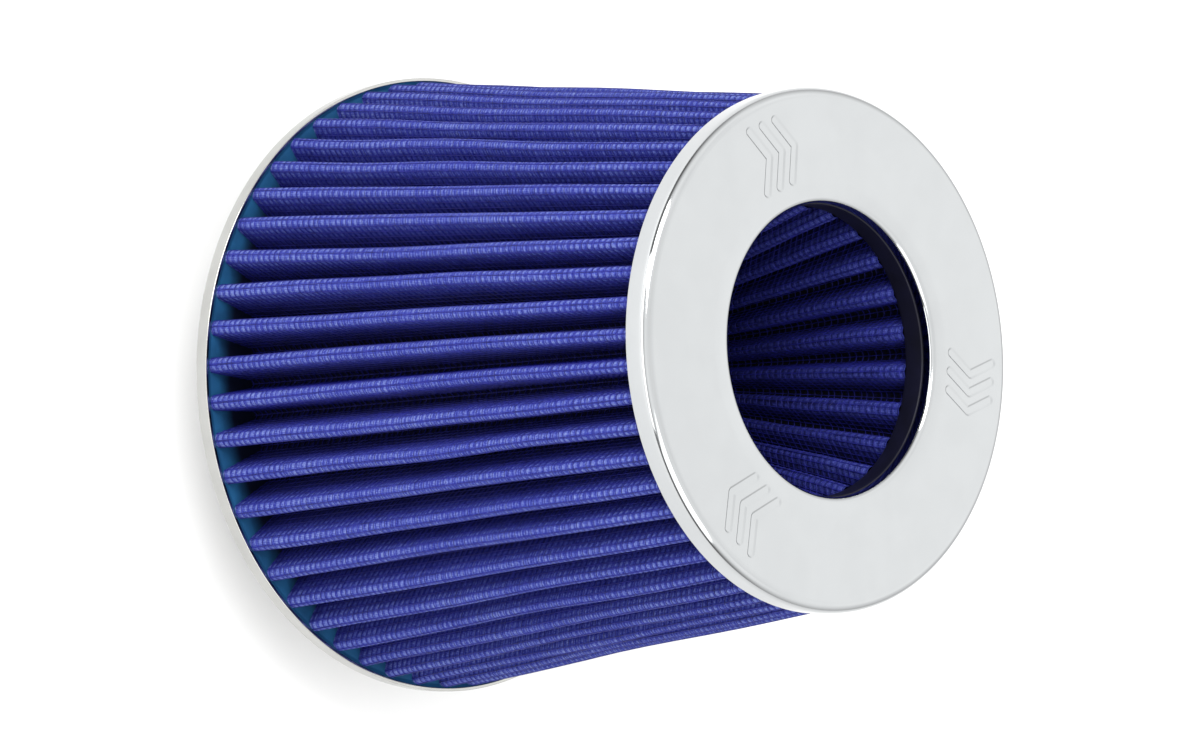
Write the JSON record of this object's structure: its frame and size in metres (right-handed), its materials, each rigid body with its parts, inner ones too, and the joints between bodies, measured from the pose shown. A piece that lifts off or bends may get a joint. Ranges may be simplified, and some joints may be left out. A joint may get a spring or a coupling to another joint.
{
  "type": "clamp-on cone air filter",
  "caption": "Tapered round engine air filter of pleated blue gauze between a base pan and a chrome cap, with an inner pleated cone and a clamp-on rubber neck.",
  "frame": {"origin": "bottom centre: on the filter's axis, level with the neck's open end", "axes": "+Z along the axis from the neck to the cap; the clamp's screw is on the +Y side and its head points along +X"},
  "size_m": [0.146, 0.146, 0.1552],
  "materials": {
    "pan_chrome": "bright plated",
    "cap_chrome": "bright plated",
    "base_urethane": "satin",
    "cap_urethane": "satin",
    "end_urethane": "satin",
    "neck_rubber": "matte",
    "blue_wire": "epoxy coated",
    "blue_gauze": "oiled cotton",
    "seam_metal": "mill",
    "end_cap_steel": "zinc plated",
    "stainless_band": "rolled",
    "stainless_housing": "pressed",
    "zinc_screw": "zinc plated"
  },
  "bodies": {
    "filter": {"base_pan": "pan_chrome", "cap": "cap_chrome", "base_seal": "base_urethane", "cap_seal": "cap_urethane", "end_seal": "end_urethane", "neck": "neck_rubber", "outer_screen": "blue_wire", "outer_backing": "blue_wire", "inner_screen": "blue_wire", "inner_backing": "blue_wire", "outer_gauze": "blue_gauze", "inner_gauze": "blue_gauze", "outer_seam": "seam_metal", "inner_seam": "seam_metal", "end_cap": "end_cap_steel"},
    "clamp": {"clamp_band": "stainless_band", "clamp_saddle": "stainless_band", "clamp_housing": "stainless_housing"},
    "screw": {"clamp_screw": "zinc_screw"},
    "strap": {"clamp_strap": "stainless_band"}
  },
  "joints": [
    {"name": "clamp_turn", "type": "hinge", "parent": "filter", "child": "clamp", "pos_m": [0, 0, 0.0122], "axis": [0, 0, 1], "continuous": true},
    {"name": "screw_turn", "type": "hinge", "parent": "clamp", "child": "screw", "pos_m": [0, 0.04725, 0.0122], "axis": [1, 0, 0], "range_deg": [-1440, 720]},
    {"name": "strap_travel", "type": "hinge", "parent": "clamp", "child": "strap", "pos_m": [0, 0, 0.0122], "axis": [0, 0, 1], "range_deg": [-16.5, 8.5]}
  ],
  "couplings": [
    {"joint": "strap_travel", "follows": "screw_turn", "ratio": 0.011052}
  ]
}
